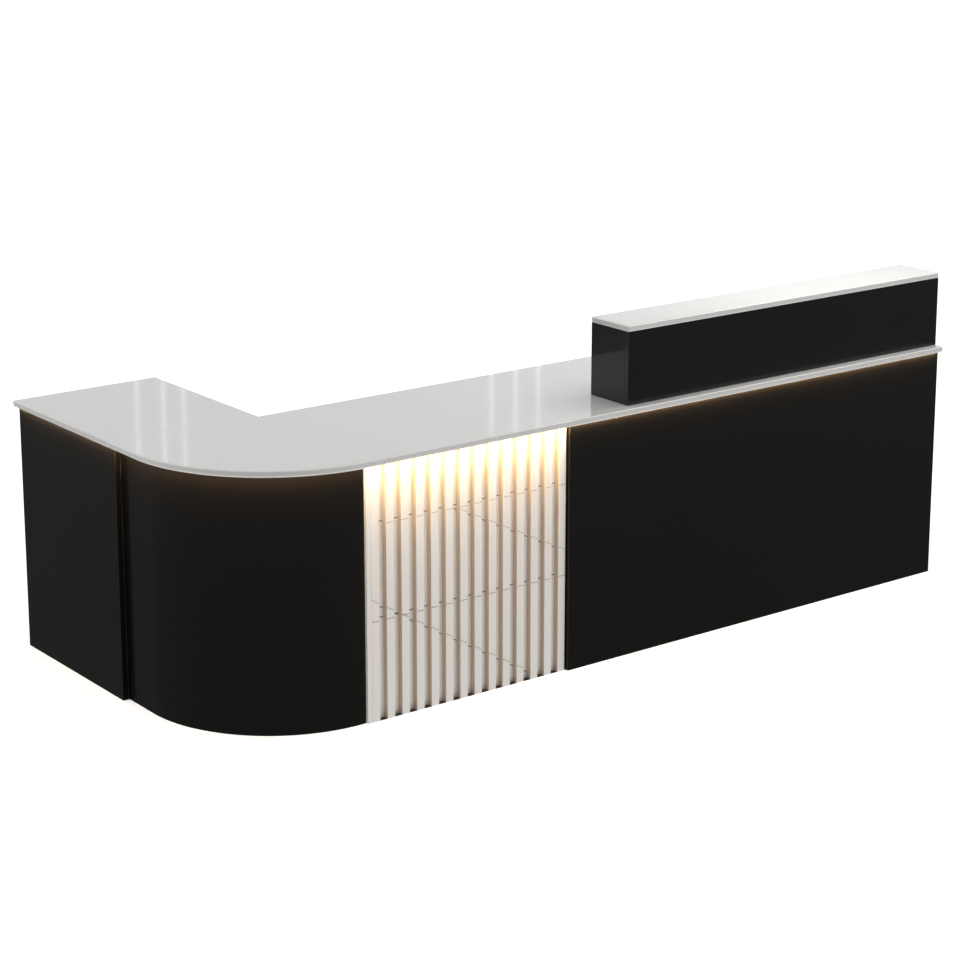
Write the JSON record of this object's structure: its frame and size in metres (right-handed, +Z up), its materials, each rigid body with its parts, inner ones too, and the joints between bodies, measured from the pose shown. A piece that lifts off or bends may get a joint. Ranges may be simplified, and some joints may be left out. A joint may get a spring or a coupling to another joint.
{
  "type": "checkout counter",
  "caption": "L-shaped checkout counter with a rounded front corner, a fluted front section, a raised shelf, light under the top's edge, drawers and a cupboard.",
  "frame": {"origin": "on the floor, under the middle of the counter's bounding box", "axes": "+X along the customer front from the rounded corner to the plain right end, +Y from the customer front to the staff side, +Z up"},
  "size_m": [2.842, 1.234, 1.05],
  "materials": {
    "white_stone": "polished",
    "black_gloss": "high gloss",
    "ivory_fluted": "satin lacquer with gold inlay lines",
    "grey_carcass": "satin melamine-faced board",
    "drawer_board": "satin melamine-faced board",
    "led_silicone": "opal silicone, lit warm white",
    "driver_case": "moulded",
    "slide_steel": "zinc plated",
    "black_metal": "satin black"
  },
  "bodies": {
    "counter": {"main_top": "white_stone", "return_top": "white_stone", "riser_top": "white_stone", "front_panel": "black_gloss", "right_end_panel": "black_gloss", "return_side_panel": "black_gloss", "curved_panel": "black_gloss", "return_end_gable": "black_gloss", "riser_front_panel": "black_gloss", "riser_left_panel": "black_gloss", "riser_right_panel": "black_gloss", "riser_base_board": "black_gloss", "riser_divider": "black_gloss", "fluted_panel": "ivory_fluted", "return_front_gable": "grey_carcass", "return_base": "grey_carcass", "return_shelf": "grey_carcass", "corner_base": "grey_carcass", "corner_shelf": "grey_carcass", "corner_top_rib": "grey_carcass", "knee_gable": "grey_carcass", "pedestal_left_gable": "grey_carcass", "pedestal_right_gable": "grey_carcass", "cupboard_gable": "grey_carcass", "pedestal_base": "grey_carcass", "cupboard_base": "grey_carcass", "cupboard_shelf": "grey_carcass", "knee_rail": "grey_carcass", "led_strip_return": "led_silicone", "led_strip_corner": "led_silicone", "led_strip_front": "led_silicone", "led_driver": "driver_case", "top_drawer_left_channel": "slide_steel", "top_drawer_right_channel": "slide_steel", "middle_drawer_left_channel": "slide_steel", "middle_drawer_right_channel": "slide_steel", "bottom_drawer_left_channel": "slide_steel", "bottom_drawer_right_channel": "slide_steel", "lower_hinge_frame_leaf": "slide_steel", "upper_hinge_frame_leaf": "slide_steel"},
    "top_drawer": {"top_drawer_front": "black_gloss", "top_drawer_box": "drawer_board", "top_drawer_pull": "black_metal", "top_drawer_left_runner": "slide_steel", "top_drawer_right_runner": "slide_steel"},
    "middle_drawer": {"middle_drawer_front": "black_gloss", "middle_drawer_box": "drawer_board", "middle_drawer_pull": "black_metal", "middle_drawer_left_runner": "slide_steel", "middle_drawer_right_runner": "slide_steel"},
    "bottom_drawer": {"bottom_drawer_front": "black_gloss", "bottom_drawer_box": "drawer_board", "bottom_drawer_pull": "black_metal", "bottom_drawer_left_runner": "slide_steel", "bottom_drawer_right_runner": "slide_steel"},
    "door": {"cupboard_door": "black_gloss", "door_pull": "black_metal", "lower_hinge_door_leaf": "slide_steel", "upper_hinge_door_leaf": "slide_steel"}
  },
  "joints": [
    {"name": "top_drawer_slide", "type": "slide", "parent": "counter", "child": "top_drawer", "axis": [0, 1, 0], "range_m": [0, 0.33]},
    {"name": "middle_drawer_slide", "type": "slide", "parent": "counter", "child": "middle_drawer", "axis": [0, 1, 0], "range_m": [0, 0.33]},
    {"name": "bottom_drawer_slide", "type": "slide", "parent": "counter", "child": "bottom_drawer", "axis": [0, 1, 0], "range_m": [0, 0.33]},
    {"name": "door_hinge", "type": "hinge", "parent": "counter", "child": "door", "pos_m": [1.394, -0.0147, 0.4], "axis": [0, 0, -1], "range_deg": [0, 110]}
  ]
}
